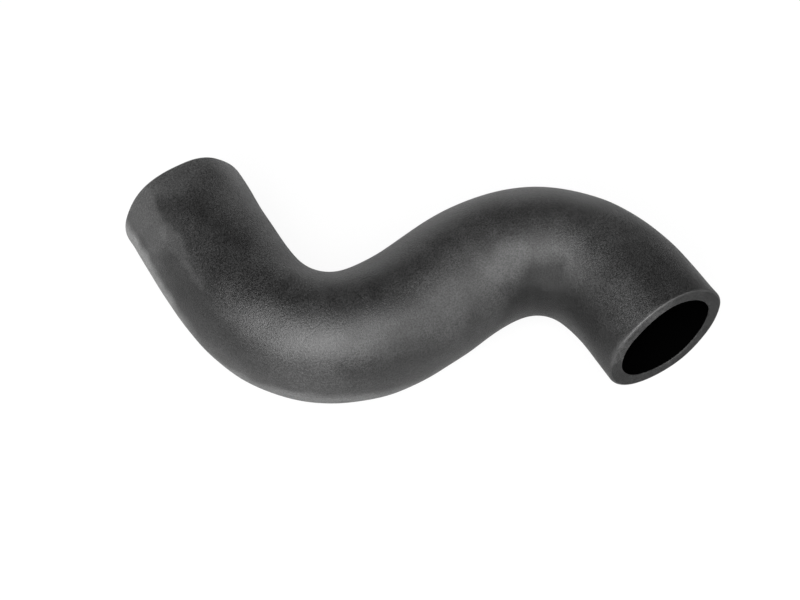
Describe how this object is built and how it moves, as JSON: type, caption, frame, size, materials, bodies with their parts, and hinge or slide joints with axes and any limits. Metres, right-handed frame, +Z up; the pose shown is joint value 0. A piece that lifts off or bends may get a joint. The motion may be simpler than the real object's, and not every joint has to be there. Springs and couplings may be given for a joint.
{
  "type": "vent hose",
  "caption": "S-shaped moulded rubber vent hose with plain square-cut ends, for joining offset pipe stubs in an engine bay.",
  "frame": {"origin": "middle of the hose's outline seen from above, at the height of the surface it lies on", "axes": "+Z up; the long arm's mouth faces +Y and the short arm's mouth faces -Y; +X from the long arm to the short arm"},
  "size_m": [0.113, 0.0934, 0.0322],
  "materials": {
    "rubber": "matte black, dry and slightly dusty"
  },
  "bodies": {
    "root": {"hose": "rubber"}
  },
  "joints": []
}
